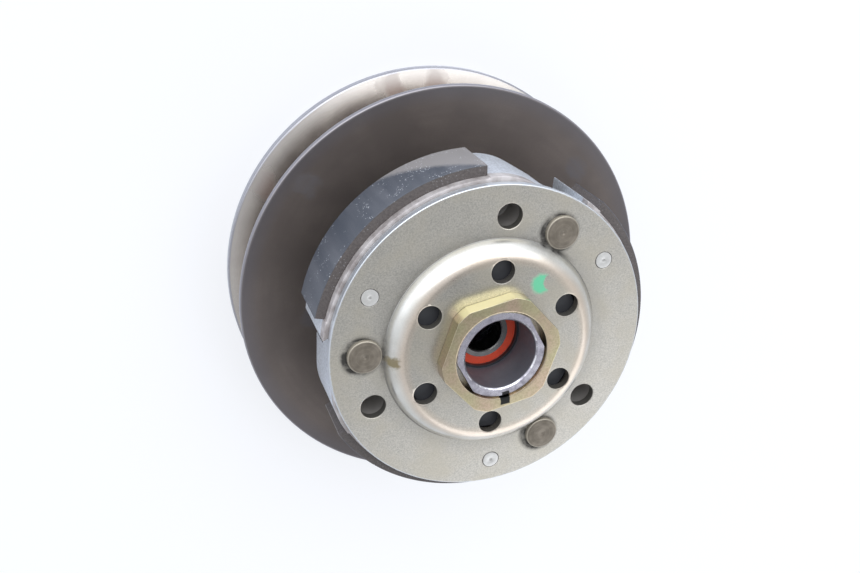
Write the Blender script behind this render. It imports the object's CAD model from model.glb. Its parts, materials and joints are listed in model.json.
# %% [markdown]
# # A centrifugal clutch on its belt pulley
# The part is already built as solids, one for each real piece, and this lesson gives them their looks.
# First the solids are loaded as a fixed frame. Their box is measured before anything is added, because
# the dressed part has to stay inside it.

# %% Load the frame
import json
import math

import bpy
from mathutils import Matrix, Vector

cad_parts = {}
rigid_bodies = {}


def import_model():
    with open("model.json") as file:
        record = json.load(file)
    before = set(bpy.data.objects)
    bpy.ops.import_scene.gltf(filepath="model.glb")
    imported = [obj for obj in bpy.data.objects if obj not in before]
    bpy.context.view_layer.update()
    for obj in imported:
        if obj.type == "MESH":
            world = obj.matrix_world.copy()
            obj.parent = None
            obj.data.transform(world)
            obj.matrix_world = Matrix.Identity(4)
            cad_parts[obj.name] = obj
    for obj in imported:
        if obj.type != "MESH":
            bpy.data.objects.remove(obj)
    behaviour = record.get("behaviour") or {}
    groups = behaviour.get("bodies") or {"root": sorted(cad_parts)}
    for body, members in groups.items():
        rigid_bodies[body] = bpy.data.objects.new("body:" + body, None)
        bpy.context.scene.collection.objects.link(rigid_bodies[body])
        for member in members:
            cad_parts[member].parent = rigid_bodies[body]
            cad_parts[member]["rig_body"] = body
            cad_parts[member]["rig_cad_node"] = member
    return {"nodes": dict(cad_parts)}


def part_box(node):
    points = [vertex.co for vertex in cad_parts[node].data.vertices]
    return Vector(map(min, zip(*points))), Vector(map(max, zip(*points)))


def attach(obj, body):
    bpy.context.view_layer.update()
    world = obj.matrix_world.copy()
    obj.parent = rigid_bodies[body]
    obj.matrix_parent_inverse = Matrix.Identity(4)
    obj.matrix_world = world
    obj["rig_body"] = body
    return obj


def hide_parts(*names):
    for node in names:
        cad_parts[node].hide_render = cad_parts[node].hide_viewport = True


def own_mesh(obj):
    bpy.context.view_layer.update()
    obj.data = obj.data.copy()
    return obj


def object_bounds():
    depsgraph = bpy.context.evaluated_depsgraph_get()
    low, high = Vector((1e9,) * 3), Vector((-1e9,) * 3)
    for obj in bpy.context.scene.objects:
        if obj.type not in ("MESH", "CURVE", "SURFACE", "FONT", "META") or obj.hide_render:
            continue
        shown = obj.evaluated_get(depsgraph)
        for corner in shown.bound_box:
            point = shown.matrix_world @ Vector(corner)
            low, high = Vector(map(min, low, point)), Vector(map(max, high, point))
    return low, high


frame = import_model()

MM = 0.001
cad_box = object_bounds()
box_sides = [round(side / MM, 1) for side in cad_box[1] - cad_box[0]]
print("solids loaded:", len(frame["nodes"]), "in a box of", box_sides, "mm")

# %% [markdown]
# ## The camera
# The clutch was photographed from above and from its left, with a lens of 42 mm on a full frame. The place
# and the three turns below come from fitting circles of known size to the rims and holes in the picture.

# %% Camera
bpy.ops.object.camera_add(
    location=(-127.248 * MM, 113.867 * MM, 313.880 * MM),
    rotation=[math.radians(turn) for turn in (-24.4682, -18.2719, 12.3453)],
)
camera = bpy.context.object
camera.name = "bench_camera"
camera.data.sensor_width = 36
camera.data.lens = 42.055
camera.data.clip_start = 10 * MM
bpy.context.scene.camera = camera
print("camera stands", round(camera.location.length / MM), "mm from the foot of the shaft")

# %% [markdown]
# ## Light and floor
# A white bench under a big window is bright nearly all round. Only one patch of the ceiling is dark. The
# flat faces mirror it, so they are darker than the round shoulder beside them, which mirrors a sunlit wall.
# A wide panel stands for the window and a weaker one fills the other side. The bench is so pale that the
# camera sees it nearly white.

# %% Helpers for colours and nodes
FALLING = {"To Min": 1.0, "To Max": 0.0}  # for a ramp that runs down instead of up


def linear(code):
    """Turns an sRGB hex colour into the linear values that shaders expect."""
    parts = [int(code[i:i + 2], 16) / 255 for i in (1, 3, 5)]
    return (*[c / 12.92 if c <= 0.04045 else ((c + 0.055) / 1.055) ** 2.4 for c in parts], 1.0)


def add_node(owner, kind, inputs=None, **settings):
    """Adds one shader node. An input is a value, or a pair of a node and one of its outputs to link from."""
    tree = owner.node_tree
    new = tree.nodes.new("ShaderNode" + kind)
    for name, value in settings.items():
        setattr(new, name, value)
    for name, value in (inputs or {}).items():
        if isinstance(value, tuple) and isinstance(value[0], bpy.types.Node):
            tree.links.new(value[0].outputs[value[1]], new.inputs[name])
        else:
            new.inputs[name].default_value = value
    return new


def every(size):
    """Scale of a pattern whose grains are this many millimetres wide."""
    return 1 / (size * MM)


# %% World and lamps
WHITE = linear("#FBFCFE")
DARK_PATCH = (0.345, -0.365, 0.865)
SUNLIT_WALL = (-0.5, 0.86, 0.1)
AIM_HEIGHT = 40
bpy.context.scene.view_settings.view_transform = "Standard"
world = bpy.data.worlds.new("daylight")
bpy.context.scene.world = world
world.use_nodes = True
world.node_tree.nodes.clear()
way = add_node(world, "TexCoord")
toward = add_node(world, "VectorMath",
    {0: (way, "Generated"), 1: DARK_PATCH}, operation="DOT_PRODUCT")
fade = add_node(world, "MapRange",
    {"Value": (toward, "Value"), "From Min": 0.95, "From Max": 0.99, "To Min": 0.85, "To Max": 0.17})
wall_side = add_node(world, "VectorMath",
    {0: (way, "Generated"), 1: SUNLIT_WALL}, operation="DOT_PRODUCT")
wall = add_node(world, "MapRange",
    {"Value": (wall_side, "Value"), "From Min": 0.3, "From Max": 0.8, "To Min": 0.0, "To Max": 1.5})
strength = add_node(world, "Math", {0: (fade, 0), 1: (wall, 0)}, operation="ADD")
sky = add_node(world, "Background", {"Color": linear("#F0F3F8"), "Strength": (strength, 0)})
backdrop = add_node(world, "Background", {"Color": WHITE, "Strength": 1.0})
seen = add_node(world, "LightPath")
chosen = add_node(world, "MixShader", {0: (seen, "Is Camera Ray"), 1: (sky, 0), 2: (backdrop, 0)})
add_node(world, "OutputWorld", {"Surface": (chosen, 0)})


def panel(name, place, width, depth, power, colour):
    """A soft panel lamp that faces the part. Sizes are in mm."""
    bpy.ops.object.light_add(type="AREA", location=[c * MM for c in place])
    lamp = bpy.context.object
    lamp.name = name
    lamp.data.shape = "RECTANGLE"
    lamp.data.size = width * MM
    lamp.data.size_y = depth * MM
    lamp.data.energy = power
    lamp.data.color = linear(colour)[:3]
    aim = -lamp.location
    aim.z += AIM_HEIGHT * MM
    lamp.rotation_euler = aim.to_track_quat("-Z", "Y").to_euler()


panel("window_panel", (40, 420, 630), 1000, 560, 3.4, "#F8FBFF")
panel("fill_panel", (470, -500, 470), 640, 640, 1.6, "#F6F9FF")

# %% Floor
bpy.ops.object.select_all(action="DESELECT")
bpy.ops.mesh.primitive_plane_add(size=6.0, location=(0, 0, 0))
floor = bpy.context.object
floor.name = "bench_top"
bench = bpy.data.materials.new("painted_bench_top")
bench.use_nodes = True
bench_shader = bench.node_tree.nodes["Principled BSDF"]
bench_shader.inputs["Base Color"].default_value = linear("#E3E6EE")
bench_shader.inputs["Roughness"].default_value = 0.9
glow = add_node(bench, "Emission", {"Color": WHITE, "Strength": 1.0})
seen = add_node(bench, "LightPath")
share = add_node(bench, "Math", {0: (seen, "Is Camera Ray"), 1: 0.72}, operation="MULTIPLY")
whitened = add_node(bench, "MixShader", {0: (share, 0), 1: (bench_shader, 0), 2: (glow, 0)})
bench_out = bench.node_tree.nodes["Material Output"]
bench.node_tree.links.new(whitened.outputs[0], bench_out.inputs["Surface"])
floor.data.materials.append(bench)

# %% [markdown]
# ## Tools for modelling
# Most pieces of a clutch are turned or pressed, so they start as an outline that is spun about the shaft.
# A plane merged to one point is the usual way to start a wire outline. Every operator works on all that is
# selected, so each tool deselects everything first.

# %% Modelling helpers


def only(piece):
    """Leaves edit mode, deselects everything and selects one piece."""
    if bpy.context.object and bpy.context.object.mode != "OBJECT":
        bpy.ops.object.mode_set(mode="OBJECT")
    bpy.ops.object.select_all(action="DESELECT")
    piece.select_set(True)
    bpy.context.view_layer.objects.active = piece


def lathe(name, outline, steps=180, sweep=360):
    """Spins a closed outline of (radius, height) points in mm about the Z axis, anticlockwise from +X."""
    bpy.ops.object.select_all(action="DESELECT")
    bpy.ops.mesh.primitive_plane_add(size=MM)
    piece = bpy.context.object
    piece.name = name
    bpy.ops.object.mode_set(mode="EDIT")
    bpy.ops.mesh.merge(type="CENTER")
    here = outline[0]
    bpy.ops.transform.translate(value=(here[0] * MM, 0, here[1] * MM))
    for there in outline[1:] + outline[:1]:
        step = ((there[0] - here[0]) * MM, 0, (there[1] - here[1]) * MM)
        bpy.ops.mesh.extrude_vertices_move(TRANSFORM_OT_translate={"value": step})
        here = there
    bpy.ops.mesh.select_all(action="SELECT")
    bpy.ops.mesh.remove_doubles(threshold=MM / 1000)
    if sweep < 360:
        bpy.ops.mesh.edge_face_add()
    bpy.ops.mesh.spin(steps=steps, angle=-math.radians(sweep), center=(0, 0, 0), axis=(0, 0, 1))
    bpy.ops.mesh.select_all(action="SELECT")
    bpy.ops.mesh.remove_doubles(threshold=MM / 1000)
    bpy.ops.mesh.normals_make_consistent(inside=False)
    bpy.ops.object.mode_set(mode="OBJECT")
    return piece


def arc(centre, radius, start, end, count):
    """Points of a round corner in an outline, in mm."""
    turns = [math.radians(start + (end - start) * k / count) for k in range(count + 1)]
    return [(centre[0] + radius * math.cos(t), centre[1] + radius * math.sin(t)) for t in turns]


def modify(piece, kind, **settings):
    """Adds a modifier, sets it and applies it."""
    only(piece)
    bpy.ops.object.modifier_add(type=kind)
    modifier = piece.modifiers[-1]
    for name, value in settings.items():
        setattr(modifier, name, value)
    bpy.ops.object.modifier_apply(modifier=modifier.name)


def smooth(piece, angle=38):
    """Smooth shading that keeps real corners, with flat faces left flat."""
    only(piece)
    bpy.ops.object.shade_smooth_by_angle(angle=math.radians(angle))
    modify(piece, "WEIGHTED_NORMAL", keep_sharp=True)


def round_edges(piece, width, segments=3, angle=32):
    """Breaks every sharp edge by a small radius in mm."""
    modify(piece, "BEVEL", width=width * MM, segments=segments, limit_method="ANGLE",
           angle_limit=math.radians(angle), use_clamp_overlap=False)


def cut(piece, cutter):
    """Takes the shape of one piece out of another and removes the cutter."""
    modify(piece, "BOOLEAN", operation="DIFFERENCE", solver="EXACT", object=cutter)
    bpy.data.objects.remove(cutter)


def settle(piece, x=0.0, y=0.0, turn=0.0):
    """Moves a piece in mm, turns it about its own origin in degrees, and writes both into its mesh."""
    only(piece)
    piece.location = (x * MM, y * MM, 0)
    piece.rotation_euler = (0, 0, math.radians(turn))
    bpy.ops.object.transform_apply(location=True, rotation=True, scale=True)


def copies(piece, stem):
    """Two more of a piece, a third of a turn apart about the shaft, each with its own mesh."""
    made = [piece]
    piece.name = f"{stem}_1"
    for k in (1, 2):
        only(piece)
        bpy.ops.object.duplicate()
        twin = bpy.context.object
        twin.name = f"{stem}_{k + 1}"
        settle(twin, turn=120 * k)
        made.append(twin)
    return made


def polar(radius, angle):
    """A place at this distance from the shaft, in this direction in degrees."""
    return radius * math.cos(math.radians(angle)), radius * math.sin(math.radians(angle))


def thirds(radius, angle):
    """Three places round the shaft, a third of a turn apart."""
    return [polar(radius, angle + 120 * k) for k in range(3)]


# %% [markdown]
# ## Drive plate
# The plate is pressed from 2.8 mm steel sheet. Its middle is pushed up into a dish with a round shoulder,
# and a press leaves every edge slightly rolled. So the outline has small arcs at the rim, and the holes are
# cut by cutters that flare at both ends, which gives each hole the rolled lip of a punched one. All sizes
# are in mm and all places are measured from the foot of the shaft.

# %% Drive plate
PLATE_R = 49
PLATE_FRONT = 68.5
PLATE_T = 2.8
ROLL = 0.3  # radius of the rolled edges
DISH_TOP = 73.25
CROWN_R = 27.5  # where the dish stops being flat
SHOULDER = 5.56  # radius of its round shoulder
FOOT_R = 33.2  # where the dish meets the flange
BORE_R = 14.03
FLAT_R, FLAT_ANGLE = 12.38, 39.4
PIVOT_ANGLE = 69.4
PIVOTS = thirds(38.8, PIVOT_ANGLE)
STUDS = thirds(41.6, 163.8)
HOLES = thirds(39.5, 95.2)

plate_back = PLATE_FRONT - PLATE_T
dish_ceiling = DISH_TOP - PLATE_T
rim_start = PLATE_R - ROLL
crown = (CROWN_R, DISH_TOP - SHOULDER)
outer_round = arc(crown, SHOULDER, 90, 9, 12)
inner_round = arc(crown, SHOULDER - PLATE_T, 0, 90, 6)
rolled_rim = arc((rim_start, PLATE_FRONT - ROLL), ROLL, 80, 0, 4)
drive_plate = lathe("drive_plate_pressed", [(10, DISH_TOP), *outer_round, (FOOT_R - 0.2, PLATE_FRONT + 0.25),
    (FOOT_R, PLATE_FRONT + 0.02), (rim_start, PLATE_FRONT), *rolled_rim, (PLATE_R, plate_back + 0.35),
    (PLATE_R - 0.35, plate_back), (30.5, plate_back), *inner_round, (10, dish_ceiling)], steps=240)


def punched_hole(place, radius, top, bottom, roll=ROLL):
    """A cutter for a punched hole: a cylinder that flares at both faces of the sheet."""
    lip, wide = radius + roll * 0.3, radius + roll
    tool = lathe("punch", [(0, bottom - 1), (wide, bottom - 1), (wide, bottom), (lip, bottom + roll * 0.3),
        (radius, bottom + roll), (radius, top - roll), (lip, top - roll * 0.3), (wide, top), (wide, top + 1),
        (0, top + 1)], steps=56)
    settle(tool, *place)
    return tool


for k in range(3):
    cut(drive_plate, punched_hole(HOLES[k], 3.8, PLATE_FRONT, plate_back))
    cut(drive_plate, punched_hole(PIVOTS[k], 4.0, PLATE_FRONT, plate_back, 0.1))
    cut(drive_plate, punched_hole(STUDS[k], 2.72, PLATE_FRONT, plate_back, 0.12))
for k in range(6):
    cut(drive_plate, punched_hole(polar(24.5, 99.1 + 60 * k), 3.55, DISH_TOP, dish_ceiling))
bpy.ops.object.select_all(action="DESELECT")
bpy.ops.mesh.primitive_cylinder_add(vertices=128, radius=BORE_R * MM, depth=12 * MM,
    location=(0, 0, DISH_TOP * MM))
d_bore = bpy.context.object
bpy.ops.object.transform_apply(location=True)
bpy.ops.object.mode_set(mode="EDIT")
for side in (0, 180):
    out_x, out_y = polar(1, FLAT_ANGLE + side)
    bpy.ops.mesh.select_all(action="SELECT")
    bpy.ops.mesh.bisect(plane_co=(out_x * FLAT_R * MM, out_y * FLAT_R * MM, 0), plane_no=(out_x, out_y, 0),
        use_fill=True, clear_outer=True)
bpy.ops.object.mode_set(mode="OBJECT")
cut(drive_plate, d_bore)
smooth(drive_plate)
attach(drive_plate, "pulley_hub")
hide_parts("drive_plate")
print("drive plate:", len(drive_plate.data.polygons), "faces")

# %% [markdown]
# ## Clutch nut
# A thin hexagon nut of 34 mm across flats. Its corners are turned off to a circle of 36.8 mm, so a six-sided
# cylinder is cut by a ring outside and by a plain cylinder for the bore. A fine bevel then catches the light
# along every edge.

# %% Clutch nut
NUT_H = 4.5
ACROSS_FLATS = 34
CORNER_R = 18.4
under, over = DISH_TOP - 1, DISH_TOP + NUT_H + 1
bpy.ops.object.select_all(action="DESELECT")
bpy.ops.mesh.primitive_cylinder_add(vertices=6, radius=ACROSS_FLATS / math.sqrt(3) * MM, depth=NUT_H * MM)
nut = bpy.context.object
nut.name = "clutch_nut_plated"
nut.location.z = (DISH_TOP + NUT_H / 2) * MM
nut.rotation_euler.z = math.radians(53)
bpy.ops.object.transform_apply(location=True, rotation=True)
for name, inner, outer in (("corner_ring", CORNER_R, 25), ("nut_bore", 0, BORE_R)):
    cut(nut, lathe(name, [(inner, under), (outer, under), (outer, over), (inner, over)]))
round_edges(nut, 0.32, 2, 20)
smooth(nut, 30)
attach(nut, "pulley_hub")
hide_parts("clutch_nut")
print("nut:", len(nut.data.polygons), "faces")

# %% [markdown]
# ## Pivot pins and stop studs
# Both are riveted into the plate. A pivot head stands proud and is slightly crowned, with the small dimple
# of the lathe centre. A stud was pressed nearly flush, and its rim is sunk a little. Each is turned once
# about its own axis, moved to its place and copied twice round the shaft.

# %% Pivot pins
PIN_R, HEAD_R = 4.0, 5.15
head = PLATE_FRONT + 1.4
pin_tip = [(0, 46.7), (3.55, 46.7), (PIN_R, 47.15)]
clip_groove = [(PIN_R, 47.9), (3.1, 47.9), (3.1, 48.7), (PIN_R, 48.7)]
head_edge = [(HEAD_R, head - 0.5), *arc((4.75, head - 0.5), 0.4, 30, 80, 3)]
dimple = [(0.62, head - 0.01), (0.5, head - 0.06), (0.22, head - 0.22), (0, head - 0.25)]
pin = lathe("pivot_pin_riveted", [*pin_tip, *clip_groove, (PIN_R, PLATE_FRONT), (HEAD_R, PLATE_FRONT),
    *head_edge, (3.6, head + 0.02), (1.6, head), *dimple], steps=72)
settle(pin, *PIVOTS[0])
smooth(pin, 35)
pins = copies(pin, "pivot_pin_riveted")
for k, one in enumerate(pins):
    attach(one, "pulley_hub")
    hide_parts(f"pivot_pin_{k + 1}")

# %% Stop studs
stud_top = PLATE_FRONT + 0.15
stud_body = [(0, 54.2), (1.9, 54.2), (2.2, 54.5), (2.2, plate_back), (2.68, plate_back)]
stud_rim = [(2.68, PLATE_FRONT - 0.12), (2.5, stud_top - 0.03), (2.3, stud_top)]
dimple = [(0.75, stud_top - 0.01), (0.6, stud_top - 0.05), (0.3, stud_top - 0.16), (0, stud_top - 0.18)]
stud = lathe("stop_stud_riveted", [*stud_body, *stud_rim, *dimple], steps=56)
settle(stud, *STUDS[0])
smooth(stud, 35)
studs = copies(stud, "stop_stud_riveted")
for k, one in enumerate(studs):
    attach(one, "pulley_hub")
    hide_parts(f"stop_stud_{k + 1}")
print("pins and studs:", len(pins), len(studs))

# %% [markdown]
# ## Cast shoes
# A shoe is a die casting, so it has no sharp edge: the mould is rounded and the flash is tumbled off. Its
# outline is exact in the solid, so a copy of the solid is merged, its flat faces are joined, and its edges
# are rounded by a bevel.

# %% Cast shoes


def copy_of(node, name):
    """A merged copy of a solid's mesh, free of the frame."""
    only(frame["nodes"][node])
    bpy.ops.object.duplicate()
    piece = bpy.context.object
    piece.name = name
    piece.parent = None
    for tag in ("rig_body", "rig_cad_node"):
        del piece[tag]
    bpy.ops.mesh.customdata_custom_splitnormals_clear()
    bpy.ops.object.mode_set(mode="EDIT")
    bpy.ops.mesh.select_all(action="SELECT")
    bpy.ops.mesh.remove_doubles(threshold=MM / 500)
    bpy.ops.mesh.dissolve_limited(angle_limit=math.radians(0.6))
    bpy.ops.object.mode_set(mode="OBJECT")
    piece.data.materials.clear()
    return piece


castings = []
for k in (1, 2, 3):
    shoe = copy_of(f"clutch_shoe_{k}", f"cast_shoe_{k}")
    round_edges(shoe, 0.45, 2, 32)
    smooth(shoe, 40)
    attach(shoe, f"shoe_{k}")
    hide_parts(f"clutch_shoe_{k}")
    castings.append(shoe)
print("castings:", [len(shoe.data.polygons) for shoe in castings])

# %% [markdown]
# ## Friction linings
# A lining is a bar of moulded friction material, bent to the shoe and bonded on. It is a rectangle spun
# through 75 degrees, and its edges are only just broken.

# %% Friction linings
LINING_START = 33.1
LINING_SWEEP = 75.5
BROKEN = 0.1  # width of the broken edges
inner, LINING_R = 49.9, 53.0
rear, front = 44.4, 62.9
block = lathe("bonded_lining", [(inner, rear), (LINING_R - BROKEN, rear), (LINING_R, rear + BROKEN),
    (LINING_R, front - BROKEN), (LINING_R - BROKEN, front), (inner, front)], steps=72, sweep=LINING_SWEEP)
settle(block, turn=PIVOT_ANGLE + LINING_START)
smooth(block, 40)
linings = copies(block, "bonded_lining")
for k, one in enumerate(linings):
    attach(one, f"shoe_{k + 1}")
    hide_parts(f"lining_{k + 1}")
print("linings:", len(linings), "from", round(PIVOT_ANGLE + LINING_START, 1), "degrees")

# %% [markdown]
# ## Main spring
# The spring is wound from 4.2 mm wire and its ends are ground flat. A circle swept by a Screw modifier gives
# the coil, and two bisecting cuts give the ground ends. It is squeezed when the sheaves are forced open, so
# it flattens towards its upper seat with that joint.

# %% Main spring
low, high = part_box("main_spring")
bottom, top = 21.638, 68.8
MEAN_R, WIRE_R = 26.3, 2.1
GROUND = 1.0  # from the centre of the wire to the ground end
COILS = 6.5
SPRING_STEPS = 312
bpy.ops.object.select_all(action="DESELECT")
bpy.ops.mesh.primitive_circle_add(vertices=20, radius=WIRE_R * MM,
    location=(MEAN_R * MM, 0, (bottom + GROUND) * MM), rotation=(math.radians(90), 0, 0))
spring = bpy.context.object
spring.name = "main_spring_wound"
bpy.ops.object.transform_apply(location=True, rotation=True)
modify(spring, "SCREW", angle=math.radians(360 * COILS), screw_offset=(top - bottom - 2 * GROUND) * MM,
    steps=SPRING_STEPS, render_steps=SPRING_STEPS, iterations=1)
bpy.ops.object.mode_set(mode="EDIT")
for height, way in ((bottom, -1), (top, 1)):
    bpy.ops.mesh.select_all(action="SELECT")
    bpy.ops.mesh.bisect(plane_co=(0, 0, height * MM), plane_no=(0, 0, way), use_fill=True, clear_outer=True)
bpy.ops.mesh.select_all(action="SELECT")
bpy.ops.mesh.fill_holes(sides=0)
bpy.ops.mesh.normals_make_consistent(inside=False)
bpy.ops.object.mode_set(mode="OBJECT")
smooth(spring, 40)
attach(spring, "pulley_hub")
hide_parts("main_spring")
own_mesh(spring)
print("spring from", round(low.z / MM, 2), "to", round(high.z / MM, 2), "mm")

# %% [markdown]
# ## Finishes
# Every finish reads the Object coordinates. All pieces lie in one frame, so a point seen from above gives
# its distance from the shaft or from a pin, and a few short chains of nodes place rims and stains exactly.

# %% Starting a finish
SHAFT = (0, 0)


def finish_of(name, colour, metallic, roughness):
    """A new material, its shader and its coordinates."""
    made = bpy.data.materials.new(name)
    made.use_nodes = True
    shader = made.node_tree.nodes["Principled BSDF"]
    shader.inputs["Base Color"].default_value = linear(colour)
    shader.inputs["Metallic"].default_value = metallic
    shader.inputs["Roughness"].default_value = roughness
    return made, shader, (add_node(made, "TexCoord"), "Object")


def connect(owner, shader, sources):
    """Links outputs of nodes to a shader, by the names of its inputs."""
    for name, (source, output) in sources.items():
        owner.node_tree.links.new(source.outputs[output], shader.inputs[name])


def mottled(owner, noise, low, high, dark, light):
    """Two tones. One gives way to the other while a noise rises from low to high."""
    mask = add_node(owner, "MapRange", {"Value": (noise, 0), "From Min": low, "From Max": high})
    return add_node(owner, "Mix", {0: (mask, 0), 6: linear(dark), 7: linear(light)}, data_type="RGBA")


def flat_of(owner, at):
    """A point seen from above."""
    return add_node(owner, "VectorMath", {0: at, 1: (1, 1, 0)}, operation="MULTIPLY")


def distance_from(owner, flat, place):
    """Distance from a place given in mm, seen from above."""
    there = (place[0] * MM, place[1] * MM, 0)
    return add_node(owner, "VectorMath", {0: (flat, 0), 1: there}, operation="DISTANCE")


def nearest_of(owner, flat, places):
    """Distance from the nearest of three places."""
    ways = [distance_from(owner, flat, place) for place in places]
    near = add_node(owner, "Math", {0: (ways[0], 1), 1: (ways[1], 1)}, operation="MINIMUM")
    return add_node(owner, "Math", {0: (near, 0), 1: (ways[2], 1)}, operation="MINIMUM")


def pen_stroke(owner, at, angle, half_width, inner, outer):
    """A mask for a short ragged stroke of a pen that points away from the shaft. Sizes are in mm."""
    turned = add_node(owner, "Mapping", {"Vector": at, "Rotation": (0, 0, -math.radians(angle))})
    axes = add_node(owner, "SeparateXYZ", {"Vector": (turned, 0)})
    shake = add_node(owner, "TexNoise", {"Vector": at, "Scale": every(1.2), "Detail": 3.0})
    side = add_node(owner, "Math", {0: (axes, "Y")}, operation="ABSOLUTE")
    ragged = add_node(owner, "Math", {0: (shake, 0), 1: MM, 2: (side, 0)}, operation="MULTIPLY_ADD")
    narrow = add_node(owner, "MapRange",
        {"Value": (ragged, 0), "From Min": (half_width + 0.4) * MM, "From Max": (half_width + 0.6) * MM,
        **FALLING})
    begins = add_node(owner, "MapRange",
        {"Value": (axes, "X"), "From Min": inner * MM, "From Max": (inner + 0.15) * MM})
    ends = add_node(owner, "MapRange",
        {"Value": (axes, "X"), "From Min": (outer - 0.3) * MM, "From Max": outer * MM, **FALLING})
    length = add_node(owner, "Math", {0: (begins, 0), 1: (ends, 0)}, operation="MULTIPLY")
    return add_node(owner, "Math", {0: (narrow, 0), 1: (length, 0)}, operation="MULTIPLY")


def coat_pieces(finish, *pieces):
    """Gives pieces one finish in place of what they had."""
    for piece in pieces:
        piece = frame["nodes"][piece] if isinstance(piece, str) else piece
        piece.data.materials.clear()
        piece.data.materials.append(finish)


# %% [markdown]
# ### Zinc-plated steel, passivated: the drive plate
# Dull zinc on pressed sheet is a greenish grey with fine dark specks. The round shoulder of the dish and the
# rim are rubbed bright, the passivation shows a faint blush beside the shoulder, and the flange is greyer at
# the foot of the dish, where a rag skips over it.

# %% Zinc plate, clean
zinc, zinc_shader, at = finish_of("zinc_plated_pressed_steel", "#BDBBB5", 0.9, 0.32)
flat = flat_of(zinc, at)
radius = distance_from(zinc, flat, SHAFT)
specks = add_node(zinc, "TexNoise",
    {"Vector": at, "Scale": every(0.45), "Detail": 5.0, "Roughness": 0.75})
base = mottled(zinc, specks, 0.3, 0.6, "#9C9992", "#C7C3BA")
clouds = add_node(zinc, "TexNoise", {"Vector": at, "Scale": every(11), "Detail": 5.0})
warm = add_node(zinc, "MapRange",
    {"Value": (clouds, 0), "From Min": 0.42, "From Max": 0.66, "To Max": 0.55})
toned = add_node(zinc, "Mix", {0: (warm, 0), 6: (base, 2), 7: linear("#B8B1A1")}, data_type="RGBA")
nicked = add_node(zinc, "Math", {0: (specks, 0), 1: -1.2 * MM, 2: (radius, 1)}, operation="MULTIPLY_ADD")
rim = add_node(zinc, "MapRange", {"Value": (nicked, 0), "From Min": 48.0 * MM, "From Max": 48.2 * MM})
rimmed = add_node(zinc, "Mix", {0: (rim, 0), 6: (toned, 2), 7: linear("#CCD0D4")}, data_type="RGBA")
inward = add_node(zinc, "MapRange", {"Value": (radius, 1), "From Min": CROWN_R * MM, "From Max": 30.5 * MM})
outward = add_node(zinc, "MapRange",
    {"Value": (radius, 1), "From Min": 33.05 * MM, "From Max": FOOT_R * MM, "To Min": 0.85, "To Max": 0.0})
band = add_node(zinc, "Math", {0: (inward, 0), 1: (outward, 0)}, operation="MULTIPLY")
uneven = add_node(zinc, "MapRange",
    {"Value": (clouds, 0), "From Min": 0.35, "From Max": 0.65, "To Min": 1.0, "To Max": 0.45})
worn = add_node(zinc, "Math", {0: (band, 0), 1: (uneven, 0)}, operation="MULTIPLY")
rubbed = add_node(zinc, "Mix", {0: (worn, 0), 6: (rimmed, 2), 7: linear("#E4E4E0")}, data_type="RGBA")
inside = add_node(zinc, "MapRange", {"Value": (radius, 1), "From Min": 26 * MM, "From Max": 28.5 * MM})
outside = add_node(zinc, "MapRange",
    {"Value": (radius, 1), "From Min": 29 * MM, "From Max": 31 * MM, "To Min": 0.45, "To Max": 0.0})
blush = add_node(zinc, "Math", {0: (inside, 0), 1: (outside, 0)}, operation="MULTIPLY")
blushed = add_node(zinc, "Mix", {0: (blush, 0), 6: (rubbed, 2), 7: linear("#DDC7B2")}, data_type="RGBA")
shade = add_node(zinc, "MapRange",
    {"Value": (radius, 1), "From Min": FOOT_R * MM, "From Max": 39 * MM, "To Min": 0.35, "To Max": 0.0})
beyond_foot = add_node(zinc, "Math", {0: (radius, 1), 1: FOOT_R * MM}, operation="GREATER_THAN")
shaded = add_node(zinc, "Math", {0: (shade, 0), 1: (beyond_foot, 0)}, operation="MULTIPLY")
greyed = add_node(zinc, "Mix", {0: (shaded, 0), 6: (blushed, 2), 7: linear("#8F8D89")}, data_type="RGBA")
dish_gloss = add_node(zinc, "MapRange",
    {"Value": (radius, 1), "From Min": 32 * MM, "From Max": 34 * MM, "To Min": 0.24, "To Max": 0.3})
dull = add_node(zinc, "Math", {0: (clouds, 0), 1: 0.12, 2: (dish_gloss, 0)}, operation="MULTIPLY_ADD")

# %% [markdown]
# Dirt sits where a rag can't reach: in a thin line at the foot of the dish, in smears beside the pivots, and
# on the walls of the holes, which face sideways. Oil has left one brown stain on the shoulder.

# %% Zinc plate, dirt
SHADES = [(x - 0.8, y - 0.35) for x, y in PIVOTS]
grit = add_node(zinc, "TexNoise", {"Vector": at, "Scale": every(2.4), "Detail": 5.0})
grit_mask = add_node(zinc, "MapRange",
    {"Value": (grit, 0), "From Min": 0.3, "From Max": 0.6, "To Min": 0.5})
pivot_away = nearest_of(zinc, flat, SHADES)
halo = add_node(zinc, "MapRange",
    {"Value": (pivot_away, 0), "From Min": 5.6 * MM, "From Max": 7.0 * MM, **FALLING})
beside = add_node(zinc, "MapRange",
    {"Value": (pivot_away, 0), "From Min": 6 * MM, "From Max": 13 * MM, **FALLING})
foot = add_node(zinc, "Math", {0: (radius, 1), 1: (FOOT_R - 0.05) * MM}, operation="SUBTRACT")
foot_away = add_node(zinc, "Math", {0: (foot, 0)}, operation="ABSOLUTE")
foot_line = add_node(zinc, "MapRange",
    {"Value": (foot_away, 0), "From Min": 0.04 * MM, "From Max": 0.3 * MM, "To Min": 0.7, "To Max": 0.0})
foot_band = add_node(zinc, "MapRange",
    {"Value": (foot_away, 0), "From Min": 0.3 * MM, "From Max": 1.7 * MM, **FALLING})
smear = add_node(zinc, "Math", {0: (foot_band, 0), 1: (beside, 0)}, operation="MULTIPLY")
loose = add_node(zinc, "Math", {0: (smear, 0), 1: (halo, 0)}, operation="MAXIMUM")
patchy = add_node(zinc, "Math", {0: (loose, 0), 1: (grit_mask, 0)}, operation="MULTIPLY")
shape = add_node(zinc, "NewGeometry")
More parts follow.
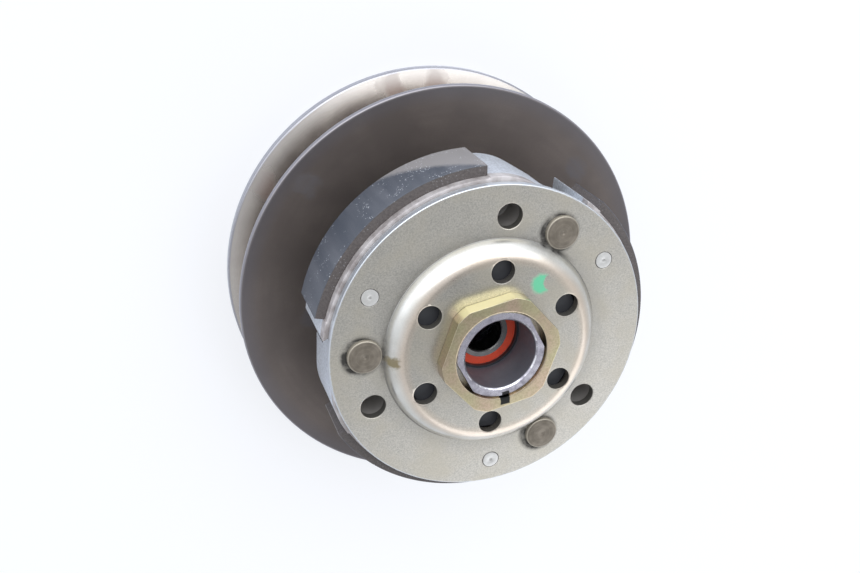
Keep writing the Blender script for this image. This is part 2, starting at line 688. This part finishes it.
facing = add_node(zinc, "SeparateXYZ", {"Vector": (shape, "Normal")})
upright = add_node(zinc, "Math", {0: (facing, "Z")}, operation="ABSOLUTE")
steep = add_node(zinc, "MapRange",
    {"Value": (upright, 0), "From Min": 0.2, "From Max": 0.5, "To Min": 0.92, "To Max": 0.0})
shoulder = add_node(zinc, "Math", {0: (radius, 1), 1: 31.5 * MM}, operation="SUBTRACT")
shoulder_away = add_node(zinc, "Math", {0: (shoulder, 0)}, operation="ABSOLUTE")
off_shoulder = add_node(zinc, "MapRange",
    {"Value": (shoulder_away, 0), "From Min": 2.7 * MM, "From Max": 3.0 * MM})
inside_rim = add_node(zinc, "MapRange",
    {"Value": (radius, 1), "From Min": 47.6 * MM, "From Max": 47.9 * MM, **FALLING})
flat_part = add_node(zinc, "Math", {0: (off_shoulder, 0), 1: (inside_rim, 0)}, operation="MULTIPLY")
walls = add_node(zinc, "Math", {0: (steep, 0), 1: (flat_part, 0)}, operation="MULTIPLY")
thin_dirt = add_node(zinc, "Math", {0: (foot_line, 0), 1: (patchy, 0)}, operation="MAXIMUM")
dirt = add_node(zinc, "Math", {0: (thin_dirt, 0), 1: (walls, 0)}, operation="MAXIMUM")
dirty = add_node(zinc, "Mix", {0: (dirt, 0), 6: (greyed, 2), 7: linear("#33312E")}, data_type="RGBA")
ragged = add_node(zinc, "TexNoise", {"Vector": at, "Scale": every(1.5), "Detail": 3.0})
stain_away = distance_from(zinc, flat, polar(31.0, -167.5))
stain_edge = add_node(zinc, "Math",
    {0: (ragged, 0), 1: 3 * MM, 2: (stain_away, 1)}, operation="MULTIPLY_ADD")
stain = add_node(zinc, "MapRange",
    {"Value": (stain_edge, 0), "From Min": 2.6 * MM, "From Max": 3.8 * MM, "To Min": 0.8, "To Max": 0.0})
stained = add_node(zinc, "Mix", {0: (stain, 0), 6: (dirty, 2), 7: linear("#82744A")}, data_type="RGBA")

# %% [markdown]
# A dab of green assembly paint marks the dish: a round spot with a bite out of its right side. Paint isn't
# a metal, so the dab and the dirt take the shine off.

# %% Zinc plate, paint dab
dab_away = distance_from(zinc, flat, (8.9, 21.6))
bite_away = distance_from(zinc, flat, (12.1, 22.5))
dab_edge = add_node(zinc, "Math",
    {0: (ragged, 0), 1: 1.2 * MM, 2: (dab_away, 1)}, operation="MULTIPLY_ADD")
bite_edge = add_node(zinc, "Math", {0: (ragged, 0), 1: -MM, 2: (bite_away, 1)}, operation="MULTIPLY_ADD")
within = add_node(zinc, "MapRange",
    {"Value": (dab_edge, 0), "From Min": 3.0 * MM, "From Max": 4.2 * MM, "To Min": 0.9, "To Max": 0.0})
beyond = add_node(zinc, "MapRange", {"Value": (bite_edge, 0), "From Min": 1.9 * MM, "From Max": 2.4 * MM})
paint = add_node(zinc, "Math", {0: (within, 0), 1: (beyond, 0)}, operation="MULTIPLY")
painted = add_node(zinc, "Mix", {0: (paint, 0), 6: (stained, 2), 7: linear("#4FB58A")}, data_type="RGBA")
covered = add_node(zinc, "Math", {0: (paint, 0), 1: (dirt, 0)}, operation="MAXIMUM")
metal = add_node(zinc, "MapRange", {"Value": (covered, 0), "To Min": 0.9, "To Max": 0.05})
coarse = add_node(zinc, "Math", {0: (dull, 0), 1: (patchy, 0)}, operation="MAXIMUM")
bump = add_node(zinc, "Bump", {"Height": (specks, 0), "Strength": 0.2, "Distance": 0.05 * MM})
connect(zinc, zinc_shader, {"Base Color": (painted, 2), "Metallic": (metal, 0),
    "Roughness": (coarse, 0), "Normal": (bump, 0)})
coat_pieces(zinc, drive_plate)
print("plate finish:", len(zinc.node_tree.nodes), "nodes")

# %% [markdown]
# ### Yellow-passivated steel: the nut
# Yellow chromate over zinc is a straw colour that shifts a little towards pink and green. A felt pen left a
# short black line across the nut and the end of the tube, which shows if the nut has moved. The spanner has
# rubbed one of the six sides, so its yellow is paler and duller, and it has polished every edge.

# %% Yellow-passivated steel
straw, straw_shader, at = finish_of("yellow_passivated_steel", "#B3A788", 1.0, 0.28)
wide = add_node(straw, "TexNoise", {"Vector": at, "Scale": every(9), "Detail": 2.0})
shift = mottled(straw, wide, 0.38, 0.62, "#CBB59E", "#C4BC98")
fine = add_node(straw, "TexNoise", {"Vector": at, "Scale": every(0.5), "Detail": 4.0})
fine_mask = add_node(straw, "MapRange",
    {"Value": (fine, 0), "From Min": 0.35, "From Max": 0.6, "To Min": 0.4, "To Max": 0.0})
specked = add_node(straw, "Mix",
    {0: (fine_mask, 0), 6: (shift, 2), 7: linear("#9A8E70")}, data_type="RGBA")
shape = add_node(straw, "NewGeometry")
facing = add_node(straw, "SeparateXYZ", {"Vector": (shape, "Normal")})
flank = add_node(straw, "MapRange", {"Value": (facing, "Z"), "From Min": 0.3, "From Max": 0.6, **FALLING})
side_away = distance_from(straw, flat_of(straw, at), polar(17, 113))
one_side = add_node(straw, "MapRange",
    {"Value": (side_away, 1), "From Min": 9 * MM, "From Max": 10 * MM, **FALLING})
pale = add_node(straw, "Math", {0: (flank, 0), 1: (one_side, 0)}, operation="MULTIPLY")
paler = add_node(straw, "Mix", {0: (pale, 0), 6: (specked, 2), 7: linear("#D2C99C")}, data_type="RGBA")
above_flank = add_node(straw, "MapRange", {"Value": (facing, "Z"), "From Min": 0.3, "From Max": 0.6})
below_face = add_node(straw, "MapRange",
    {"Value": (facing, "Z"), "From Min": 0.85, "From Max": 0.98, "To Min": 0.8, "To Max": 0.0})
arris = add_node(straw, "Math", {0: (above_flank, 0), 1: (below_face, 0)}, operation="MULTIPLY")
edged = add_node(straw, "Mix", {0: (arris, 0), 6: (paler, 2), 7: linear("#F4EFDF")}, data_type="RGBA")
straw_metal = add_node(straw, "MapRange", {"Value": (pale, 0), "To Min": 1.0, "To Max": 0.6})
stroke = pen_stroke(straw, at, -72.5, 1.5, 13.6, 16.4)
inked = add_node(straw, "Mix", {0: (stroke, 0), 6: (edged, 2), 7: linear("#343433")}, data_type="RGBA")
straw_bump = add_node(straw, "Bump", {"Height": (fine, 0), "Strength": 0.15, "Distance": 0.05 * MM})
connect(straw, straw_shader, {"Base Color": (inked, 2), "Metallic": (straw_metal, 0),
    "Normal": (straw_bump, 0)})
coat_pieces(straw, nut)

# %% [markdown]
# ### Machined steel: the hub tube
# Bare turned steel is a cold grey, slightly purple where it has run warm, with a bright burr along the bore.
# The bore is coated with old oil near its mouth, so it is dark there, and cleaner behind the bearing.

# %% Machined steel
steel, steel_shader, at = finish_of("machined_steel", "#A5A2AA", 1.0, 0.3)
radius = distance_from(steel, flat_of(steel, at), SHAFT)
scuffs = add_node(steel, "TexNoise", {"Vector": at, "Scale": every(2.5), "Detail": 6.0, "Roughness": 0.7})
steel_tone = mottled(steel, scuffs, 0.35, 0.65, "#8C8993", "#C9C6CF")
burr = add_node(steel, "MapRange",
    {"Value": (radius, 1), "From Min": 11.35 * MM, "From Max": 11.6 * MM, "To Min": 0.9, "To Max": 0.0})
nicks = add_node(steel, "TexNoise", {"Vector": at, "Scale": every(2), "Detail": 2.0})
nick_mask = add_node(steel, "MapRange", {"Value": (nicks, 0), "From Min": 0.45, "From Max": 0.55})
bright = add_node(steel, "Math", {0: (burr, 0), 1: (nick_mask, 0)}, operation="MULTIPLY")
burred = add_node(steel, "Mix",
    {0: (bright, 0), 6: (steel_tone, 2), 7: linear("#F4F4F8")}, data_type="RGBA")
axes = add_node(steel, "SeparateXYZ", {"Vector": at})
deep = add_node(steel, "MapRange",
    {"Value": (axes, "Z"), "From Min": 48 * MM, "From Max": 50 * MM, **FALLING})
bore_tone = add_node(steel, "Mix",
    {0: (deep, 0), 6: linear("#6B6C74"), 7: linear("#B9BAC0")}, data_type="RGBA")
oily = add_node(steel, "MapRange",
    {"Value": (radius, 1), "From Min": 11.05 * MM, "From Max": 11.2 * MM, **FALLING})
bored = add_node(steel, "Mix", {0: (oily, 0), 6: (burred, 2), 7: (bore_tone, 2)}, data_type="RGBA")
stroke = pen_stroke(steel, at, -70.0, 1.2, 12.4, 14.4)
inked = add_node(steel, "Mix", {0: (stroke, 0), 6: (bored, 2), 7: linear("#3A3939")}, data_type="RGBA")
steel_metal = add_node(steel, "MapRange", {"Value": (oily, 0), "To Min": 1.0, "To Max": 0.5})
steel_dull = add_node(steel, "MapRange",
    {"Value": (scuffs, 0), "From Min": 0.3, "From Max": 0.7, "To Min": 0.42, "To Max": 0.22})
steel_coarse = add_node(steel, "Math",
    {0: (oily, 0), 1: 0.12, 2: (steel_dull, 0)}, operation="MULTIPLY_ADD")
steel_bump = add_node(steel, "Bump", {"Height": (scuffs, 0), "Strength": 0.3, "Distance": 0.06 * MM})
connect(steel, steel_shader, {"Base Color": (inked, 2), "Metallic": (steel_metal, 0),
    "Roughness": (steel_coarse, 0), "Normal": (steel_bump, 0)})
coat_pieces(steel, "hub_tube")

# %% [markdown]
# ### Browned steel: the pivot heads, and worn zinc: the stop studs
# The pivot heads have browned with old grease. The lathe has left a dimple and a ring in each, and the edge
# is rubbed lighter. The studs are whiter, with a dark line where they were pressed in.

# %% Pivot heads
olive, olive_shader, at = finish_of("browned_pin_steel", "#78736A", 0.55, 0.42)
pin_away = nearest_of(olive, flat_of(olive, at), PIVOTS)
grease = add_node(olive, "TexNoise", {"Vector": at, "Scale": every(2.6), "Detail": 5.0})
olive_tone = mottled(olive, grease, 0.36, 0.64, "#645D53", "#787065")
rings = add_node(olive, "Math", {0: (pin_away, 0), 1: 2 * math.pi / (1.35 * MM)}, operation="MULTIPLY")
ring_wave = add_node(olive, "Math", {0: (rings, 0)}, operation="COSINE")
ring_mask = add_node(olive, "MapRange", {"Value": (ring_wave, 0), "From Min": 0.6, "To Max": 0.12})
ringed = add_node(olive, "Mix",
    {0: (ring_mask, 0), 6: (olive_tone, 2), 7: linear("#9A917D")}, data_type="RGBA")
edge = add_node(olive, "MapRange", {"Value": (pin_away, 0), "From Min": 4.7 * MM, "From Max": 4.95 * MM})
edged = add_node(olive, "Mix", {0: (edge, 0), 6: (ringed, 2), 7: linear("#9C9588")}, data_type="RGBA")
olive_bump = add_node(olive, "Bump", {"Height": (grease, 0), "Strength": 0.15, "Distance": 0.05 * MM})
connect(olive, olive_shader, {"Base Color": (edged, 2), "Normal": (olive_bump, 0)})
coat_pieces(olive, *pins)

# %% Stop studs
stud_zinc, stud_shader, at = finish_of("worn_stud_zinc", "#C6C5C1", 0.6, 0.36)
stud_away = nearest_of(stud_zinc, flat_of(stud_zinc, at), STUDS)
tarnish = add_node(stud_zinc, "TexNoise", {"Vector": at, "Scale": every(1.4), "Detail": 4.0})
stud_tone = add_node(stud_zinc, "Mix",
    {0: (tarnish, 0), 6: linear("#B3B2AF"), 7: linear("#D2D1CE")}, data_type="RGBA")
seam = add_node(stud_zinc, "MapRange",
    {"Value": (stud_away, 0), "From Min": 2.45 * MM, "From Max": 2.6 * MM})
dimple = add_node(stud_zinc, "MapRange",
    {"Value": (stud_away, 0), "From Min": 0.3 * MM, "From Max": 0.7 * MM, "To Min": 0.5, "To Max": 0.0})
marks = add_node(stud_zinc, "Math", {0: (seam, 0), 1: (dimple, 0)}, operation="MAXIMUM")
marked = add_node(stud_zinc, "Mix",
    {0: (marks, 0), 6: (stud_tone, 2), 7: linear("#6A6865")}, data_type="RGBA")
connect(stud_zinc, stud_shader, {"Base Color": (marked, 2)})
coat_pieces(stud_zinc, *studs)

# %% [markdown]
# ### Die-cast aluminium: the shoes
# A casting keeps the skin of its mould: pale grey, smooth on the drawn sides and grainy on the face that was
# trimmed. Lining dust has browned the strip in front of the lining, and the wells behind the plate's holes
# are full of grime.

# %% Die-cast aluminium
cast, cast_shader, at = finish_of("die_cast_aluminium", "#C6CBD2", 0.5, 0.38)
axes = add_node(cast, "SeparateXYZ", {"Vector": at})
skin = add_node(cast, "TexNoise", {"Vector": at, "Scale": every(0.8), "Detail": 5.0, "Roughness": 0.65})
cast_tone = mottled(cast, skin, 0.34, 0.62, "#B7BBC1", "#DADFE6")
in_front = add_node(cast, "MapRange",
    {"Value": (axes, "Z"), "From Min": 61.6 * MM, "From Max": 62.6 * MM})
dust = add_node(cast, "TexNoise", {"Vector": at, "Scale": every(4), "Detail": 3.0})
dust_tone = mottled(cast, dust, 0.35, 0.62, "#8F8886", "#B9B4B3")
dusted = add_node(cast, "Mix", {0: (in_front, 0), 6: (cast_tone, 2), 7: (dust_tone, 2)}, data_type="RGBA")
well_away = nearest_of(cast, flat_of(cast, at), HOLES)
well = add_node(cast, "MapRange",
    {"Value": (well_away, 0), "From Min": 4.7 * MM, "From Max": 4.9 * MM, **FALLING})
below = add_node(cast, "MapRange",
    {"Value": (axes, "Z"), "From Min": 65.25 * MM, "From Max": 65.4 * MM, **FALLING})
grime = add_node(cast, "Math", {0: (well, 0), 1: (below, 0)}, operation="MULTIPLY")
grimy = add_node(cast, "Mix", {0: (grime, 0), 6: (dusted, 2), 7: linear("#928E8A")}, data_type="RGBA")
fouled = add_node(cast, "Math", {0: (in_front, 0), 1: (grime, 0)}, operation="MAXIMUM")
cast_metal = add_node(cast, "MapRange", {"Value": (fouled, 0), "To Min": 0.5, "To Max": 0.1})
cast_bump = add_node(cast, "Bump", {"Height": (skin, 0), "Strength": 0.3, "Distance": 0.12 * MM})
connect(cast, cast_shader, {"Base Color": (grimy, 2), "Metallic": (cast_metal, 0),
    "Normal": (cast_bump, 0)})
coat_pieces(cast, *castings)

# %% [markdown]
# ### Moulded friction material: the linings
# Resin, fibre and metal dust: dark brown-grey where it is cut, polished blue-grey where it rubs, with small
# bright grains of metal that catch the light. The end beside the pivot is dusty, in a wedge that starts at
# the rear edge. The angle about the shaft, wrapped to a third of a turn, gives all three linings this wedge.

# %% Friction material
WEDGE_SLOPE = 28.0  # radians for each metre of height
friction, friction_shader, at = finish_of("moulded_friction_lining", "#56504F", 0.0, 0.55)
radius = distance_from(friction, flat_of(friction, at), SHAFT)
axes = add_node(friction, "SeparateXYZ", {"Vector": at})
fibres = add_node(friction, "TexNoise",
    {"Vector": at, "Scale": every(0.7), "Detail": 6.0, "Roughness": 0.75})
brown = mottled(friction, fibres, 0.35, 0.65, "#423D3C", "#5A5452")
upright = add_node(friction, "VectorMath", {0: at, 1: (1, 1, 0.12)}, operation="MULTIPLY")
streaks = add_node(friction, "TexNoise", {"Vector": (upright, 0), "Scale": every(5), "Detail": 5.0})
blue = mottled(friction, streaks, 0.35, 0.65, "#393E47", "#4F5259")
turn = add_node(friction, "Math", {0: (axes, "Y"), 1: (axes, "X")}, operation="ARCTAN2")
from_pivot = add_node(friction, "Math",
    {0: (turn, 0), 1: math.radians(PIVOT_ANGLE)}, operation="SUBTRACT")
local = add_node(friction, "Math", {0: (from_pivot, 0), 1: math.radians(120)}, operation="FLOORED_MODULO")
wedge = add_node(friction, "Math",
    {0: (axes, "Z"), 1: WEDGE_SLOPE, 2: (local, 0)}, operation="MULTIPLY_ADD")
wedge_edge = add_node(friction, "Math",
    {0: (fibres, 0), 1: 0.12, 2: (wedge, 0)}, operation="MULTIPLY_ADD")
dusty = add_node(friction, "MapRange",
    {"Value": (wedge_edge, 0), "From Min": 2.37, "From Max": 2.45, "To Min": 0.85, "To Max": 0.0})
worn = add_node(friction, "Mix", {0: (dusty, 0), 6: (blue, 2), 7: linear("#868280")}, data_type="RGBA")
rubbed = add_node(friction, "MapRange",
    {"Value": (radius, 1), "From Min": (LINING_R - 0.25) * MM, "From Max": (LINING_R - 0.05) * MM})
body_tone = add_node(friction, "Mix", {0: (rubbed, 0), 6: (brown, 2), 7: (worn, 2)}, data_type="RGBA")
grains = add_node(friction, "TexVoronoi", {"Vector": at, "Scale": every(0.8)}, feature="F1")
grain_mask = add_node(friction, "MapRange",
    {"Value": (grains, "Distance"), "From Min": 0.14, "From Max": 0.24, **FALLING})
where = add_node(friction, "TexNoise", {"Vector": at, "Scale": every(6), "Detail": 2.0})
where_mask = add_node(friction, "MapRange", {"Value": (where, 0), "From Min": 0.51, "From Max": 0.6})
bared = add_node(friction, "MapRange", {"Value": (rubbed, 0), "To Min": 0.2, "To Max": 1.0})
shown = add_node(friction, "Math", {0: (where_mask, 0), 1: (bared, 0)}, operation="MULTIPLY")
sparkle = add_node(friction, "Math", {0: (grain_mask, 0), 1: (shown, 0)}, operation="MULTIPLY")
sparkled = add_node(friction, "Mix",
    {0: (sparkle, 0), 6: (body_tone, 2), 7: linear("#C4C6CB")}, data_type="RGBA")
friction_gloss = add_node(friction, "MapRange", {"Value": (rubbed, 0), "To Min": 0.7, "To Max": 0.45})
friction_bump = add_node(friction, "Bump",
    {"Height": (fibres, 0), "Strength": 0.35, "Distance": 0.1 * MM})
connect(friction, friction_shader, {"Base Color": (sparkled, 2), "Roughness": (friction_gloss, 0),
    "Normal": (friction_bump, 0)})
coat_pieces(friction, *linings)

# %% [markdown]
# ### Sheave steel
# Belt dust and heat have browned the outer face of the movable sheave, with a bluish ring inside its rim.
# The belt keeps its own track on the fixed sheave polished, apart from a few brown patches. Both rims are
# rubbed bright. One function makes both finishes, because they differ only in their tones and their shine.

# %% Sheave steel


def sheave_finish(name, tones, patch_places, rim_from, metallic, roughness):
    """Steel with clouds and tracks of two tones, three patches, a ring inside the rim and a rubbed rim."""
    low, high, patch, ring_tone, rim_tone = tones
    made, shader, at = finish_of(name, high, metallic, roughness)
    flat = flat_of(made, at)
    radius = distance_from(made, flat, SHAFT)
    cloud = add_node(made, "TexNoise", {"Vector": at, "Scale": every(15), "Detail": 4.0})
    brown = mottled(made, cloud, 0.36, 0.62, low, high)
    patches = add_node(made, "TexNoise", {"Vector": at, "Scale": every(5), "Detail": 4.0})
    patch_away = nearest_of(made, flat, patch_places)
    patch_edge = add_node(made, "Math",
        {0: (patches, 0), 1: 9 * MM, 2: (patch_away, 0)}, operation="MULTIPLY_ADD")
    patch_mask = add_node(made, "MapRange",
        {"Value": (patch_edge, 0), "From Min": 7.2 * MM, "From Max": 9.5 * MM, "To Min": 0.85,
        "To Max": 0.0})
    patched = add_node(made, "Mix",
        {0: (patch_mask, 0), 6: (brown, 2), 7: linear(patch)}, data_type="RGBA")
    powder = add_node(made, "TexNoise", {"Vector": at, "Scale": every(0.6), "Detail": 4.0})
    powder_mask = add_node(made, "MapRange",
        {"Value": (powder, 0), "From Min": 0.35, "From Max": 0.65, "To Min": 0.3, "To Max": 0.0})
    powdered = add_node(made, "Mix",
        {0: (powder_mask, 0), 6: (patched, 2), 7: linear(low)}, data_type="RGBA")
    across = add_node(made, "CombineXYZ", {"X": (radius, 1)})
    tracks = add_node(made, "TexNoise", {"Vector": (across, 0), "Scale": every(2.5), "Detail": 4.0})
    track_mask = add_node(made, "MapRange",
        {"Value": (tracks, 0), "From Min": 0.35, "From Max": 0.65, "To Min": 0.45, "To Max": 0.0})
    tracked = add_node(made, "Mix",
        {0: (track_mask, 0), 6: (powdered, 2), 7: linear(low)}, data_type="RGBA")
    ring = add_node(made, "MapRange",
        {"Value": (radius, 1), "From Min": 62 * MM, "From Max": 66.6 * MM, "To Max": 0.6})
    ringed = add_node(made, "Mix",
        {0: (ring, 0), 6: (tracked, 2), 7: linear(ring_tone)}, data_type="RGBA")
    rim = add_node(made, "MapRange",
        {"Value": (radius, 1), "From Min": rim_from * MM, "From Max": (rim_from + 0.2) * MM})
    rimmed = add_node(made, "Mix", {0: (rim, 0), 6: (ringed, 2), 7: linear(rim_tone)}, data_type="RGBA")
    rim_metal = add_node(made, "MapRange", {"Value": (rim, 0), "To Min": metallic, "To Max": 0.9})
    patch_dull = add_node(made, "Math",
        {0: (patch_mask, 0), 1: 0.2, 2: roughness}, operation="MULTIPLY_ADD")
    rim_gloss = add_node(made, "Math",
        {0: (rim, 0), 1: -0.1, 2: (patch_dull, 0)}, operation="MULTIPLY_ADD")
    bump = add_node(made, "Bump", {"Height": (powder, 0), "Strength": 0.15, "Distance": 0.05 * MM})
    connect(made, shader, {"Base Color": (rimmed, 2), "Metallic": (rim_metal, 0),
        "Roughness": (rim_gloss, 0), "Normal": (bump, 0)})
    return made


browned = sheave_finish("browned_sheave_steel", ("#5F5753", "#6C635E", "#605D60", "#5C5A5F", "#8F8C90"),
    [polar(60, 150), polar(45, -160), polar(58, 50)], 67.45, 0.4, 0.45)
polished = sheave_finish("belt_polished_steel", ("#8F857D", "#B3AAA0", "#7F6A61", "#C6C2BE", "#A5A4A8"),
    [polar(64, 112), polar(64, 98), polar(63, 160)], 67.3, 0.9, 0.26)
coat_pieces(browned, "movable_sheave", "cam_sleeve")
coat_pieces(polished, "fixed_sheave")

# %% [markdown]
# ### Small parts
# The rest is plain: the collar is drawn bright steel, the springs are phosphated wire, the dampers and rings
# are rubber, and the bearing has an orange seal. Each is a cloudy mix of two tones of its material.

# %% Small parts


def cloudy(name, dark, light, metallic, roughness, grain, *pieces):
    """A finish that clouds between two tones, for small or hidden pieces."""
    made, shader, at = finish_of(name, light, metallic, roughness)
    cloud = add_node(made, "TexNoise", {"Vector": at, "Scale": every(grain), "Detail": 4.0})
    tone = add_node(made, "Mix", {0: (cloud, 0), 6: linear(dark), 7: linear(light)}, data_type="RGBA")
    relief = add_node(made, "Bump", {"Height": (cloud, 0), "Strength": 0.1, "Distance": 0.05 * MM})
    connect(made, shader, {"Base Color": (tone, 2), "Normal": (relief, 0)})
    coat_pieces(made, *pieces)


BY_THREE = (1, 2, 3)
cloudy("polished_ring_steel", "#95938D", "#BDBBB4", 1.0, 0.2, 2, "bearing_inner_ring")
cloudy("ground_bearing_steel", "#6F7074", "#8F9094", 1.0, 0.28, 2, "bearing_outer_ring",
    "bearing_balls", "bearing_cage", "needle_shell", "needle_cage", "needle_rollers",
    *[f"guide_{kind}_{k}" for kind in ("pin", "roller") for k in BY_THREE])
cloudy("drawn_bright_steel", "#85837F", "#AFAFAD", 1.0, 0.32, 5, "seal_collar",
    *[f"{kind}_{k}" for kind in ("pivot_washer", "e_clip") for k in BY_THREE])
cloudy("blued_clip_steel", "#3A3B3E", "#55565A", 0.9, 0.4, 2, "bearing_circlip")
cloudy("phosphated_spring_wire", "#2D2F31", "#4C4E50", 0.5, 0.45, 2, spring,
    *[f"return_spring_{k}" for k in BY_THREE])
cloudy("black_rubber", "#1D1D1E", "#2C2C2D", 0.0, 0.6, 1, "o_ring_1", "o_ring_2", "oil_seal_rear",
    "oil_seal_front", *[f"damper_{k}" for k in BY_THREE])
cloudy("moulded_black_nylon", "#1C1D20", "#28292D", 0.0, 0.5, 3, "spring_seat")
cloudy("orange_seal_rubber", "#BF4029", "#D24D33", 0.0, 0.45, 2, "bearing_seal")
print("finishes:", len(bpy.data.materials))
